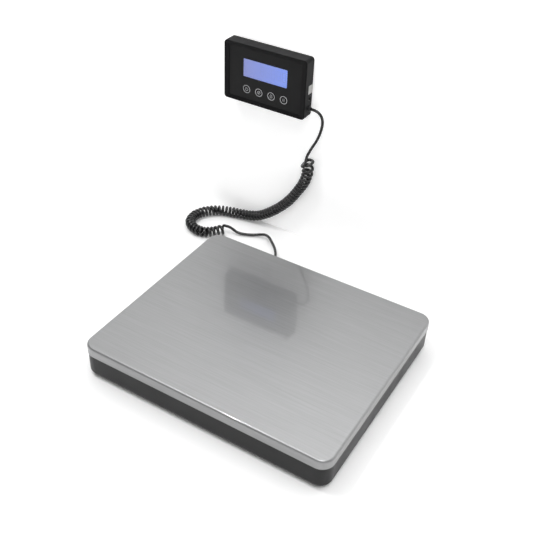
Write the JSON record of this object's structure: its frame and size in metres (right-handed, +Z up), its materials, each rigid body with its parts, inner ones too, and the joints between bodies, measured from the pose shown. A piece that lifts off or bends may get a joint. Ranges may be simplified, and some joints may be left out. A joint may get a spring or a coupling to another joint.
{
  "type": "platform shipping scale",
  "caption": "Low platform scale: a brushed steel tray over a black moulded base on sprung load cells, with a separate wall-hung display joined by a curly cord.",
  "frame": {"origin": "on the surface the feet stand on, at the centre of the box that holds the platform and the wall display, without the cord", "axes": "+Z up, +Y from the front of the platform towards the wall, +X to the right when facing the display; the display faces -Y"},
  "size_m": [0.4072, 0.385, 0.278],
  "materials": {
    "brushed_steel_sheet": "brushed along X, semi-matt",
    "base_plastic": "fine moulded grain",
    "plate_steel": "zinc plated",
    "zinc_screw": "zinc plated",
    "foam": "matt foam",
    "cell_steel": "nickel plated",
    "retainer_plastic": "satin",
    "foot_plastic": "satin",
    "foot_rubber": "matt",
    "circuit_board": "solder mask",
    "socket_plastic": "satin",
    "lead_sheath": "soft sheath",
    "cord_rubber": "semi-gloss",
    "gland_rubber": "semi-matt",
    "plate_label": "blank silver film",
    "white_label": "blank paper",
    "case_plastic": "satin",
    "overlay_film": "semi-gloss film",
    "key_rubber": "semi-gloss, grey printed ring",
    "window_clear": "clear",
    "lcd_blue": "lit blue liquid crystal",
    "light_guide": "clear guide",
    "chip_black": "moulded",
    "battery_wrap": "printed wrap, plain",
    "contact_steel": "nickel plated",
    "jack_plastic": "moulded",
    "bracket_plastic": "satin"
  },
  "bodies": {
    "base": {"base_tub": "base_plastic", "support_plate": "plate_steel", "plate_screws": "zinc_screw", "platter_pads": "foam", "retainer_screws": "zinc_screw", "junction_board": "circuit_board", "junction_board_screws": "zinc_screw", "junction_sockets": "socket_plastic", "cell_leads": "lead_sheath", "rear_gland": "gland_rubber", "base_pigtail": "cord_rubber", "rating_label": "plate_label", "wall_bracket": "bracket_plastic", "cord_upper_lead": "cord_rubber", "cord_coil": "cord_rubber", "cord_lower_lead": "cord_rubber", "load_cell_front_left": "cell_steel", "cell_retainer_front_left": "retainer_plastic", "load_cell_front_right": "cell_steel", "cell_retainer_front_right": "retainer_plastic", "load_cell_rear_left": "cell_steel", "cell_retainer_rear_left": "retainer_plastic", "load_cell_rear_right": "cell_steel", "cell_retainer_rear_right": "retainer_plastic"},
    "platter": {"platter": "brushed_steel_sheet"},
    "display": {"display_front_shell": "case_plastic", "display_rear_shell": "case_plastic", "case_screws": "zinc_screw", "overlay_panel": "overlay_film", "lcd_window": "window_clear", "lcd_glass": "lcd_blue", "lcd_backlight": "light_guide", "main_board": "circuit_board", "main_board_screws": "zinc_screw", "board_chips": "chip_black", "display_sockets": "socket_plastic", "buzzer": "chip_black", "tact_switches": "chip_black", "batteries": "battery_wrap", "battery_contacts": "contact_steel", "dc_jack": "jack_plastic", "jack_leads": "lead_sheath", "side_label": "white_label", "display_gland": "gland_rubber", "display_pigtail": "cord_rubber"},
    "battery_door": {"battery_door": "case_plastic"},
    "foot_front_left": {"foot_hub_front_left": "foot_plastic", "foot_pad_front_left": "foot_rubber"},
    "foot_front_right": {"foot_hub_front_right": "foot_plastic", "foot_pad_front_right": "foot_rubber"},
    "foot_rear_left": {"foot_hub_rear_left": "foot_plastic", "foot_pad_rear_left": "foot_rubber"},
    "foot_rear_right": {"foot_hub_rear_right": "foot_plastic", "foot_pad_rear_right": "foot_rubber"},
    "key_power": {"key_power": "key_rubber"},
    "key_tare": {"key_tare": "key_rubber"},
    "key_unit": {"key_unit": "key_rubber"},
    "key_hold": {"key_hold": "key_rubber"}
  },
  "joints": [
    {"name": "platter_lift", "type": "slide", "parent": "base", "child": "platter", "axis": [0, 0, 1], "range_m": [0, 0.06]},
    {"name": "display_lift", "type": "slide", "parent": "base", "child": "display", "axis": [0, 0, 1], "range_m": [0, 0.016]},
    {"name": "battery_door_slide", "type": "slide", "parent": "display", "child": "battery_door", "axis": [0, 0, -1], "range_m": [0, 0.05]},
    {"name": "foot_front_left_flex", "type": "slide", "parent": "base", "child": "foot_front_left", "axis": [0, 0, 1], "range_m": [0, 0.0008], "stiffness_N_per_m": 250000, "deforming": ["load_cell_front_left"]},
    {"name": "foot_front_right_flex", "type": "slide", "parent": "base", "child": "foot_front_right", "axis": [0, 0, 1], "range_m": [0, 0.0008], "stiffness_N_per_m": 250000, "deforming": ["load_cell_front_right"]},
    {"name": "foot_rear_left_flex", "type": "slide", "parent": "base", "child": "foot_rear_left", "axis": [0, 0, 1], "range_m": [0, 0.0008], "stiffness_N_per_m": 250000, "deforming": ["load_cell_rear_left"]},
    {"name": "foot_rear_right_flex", "type": "slide", "parent": "base", "child": "foot_rear_right", "axis": [0, 0, 1], "range_m": [0, 0.0008], "stiffness_N_per_m": 250000, "deforming": ["load_cell_rear_right"]},
    {"name": "key_power_press", "type": "slide", "parent": "display", "child": "key_power", "axis": [0, 1, 0], "range_m": [0, 0.0004], "stiffness_N_per_m": 4000},
    {"name": "key_tare_press", "type": "slide", "parent": "display", "child": "key_tare", "axis": [0, 1, 0], "range_m": [0, 0.0004], "stiffness_N_per_m": 4000},
    {"name": "key_unit_press", "type": "slide", "parent": "display", "child": "key_unit", "axis": [0, 1, 0], "range_m": [0, 0.0004], "stiffness_N_per_m": 4000},
    {"name": "key_hold_press", "type": "slide", "parent": "display", "child": "key_hold", "axis": [0, 1, 0], "range_m": [0, 0.0004], "stiffness_N_per_m": 4000}
  ]
}
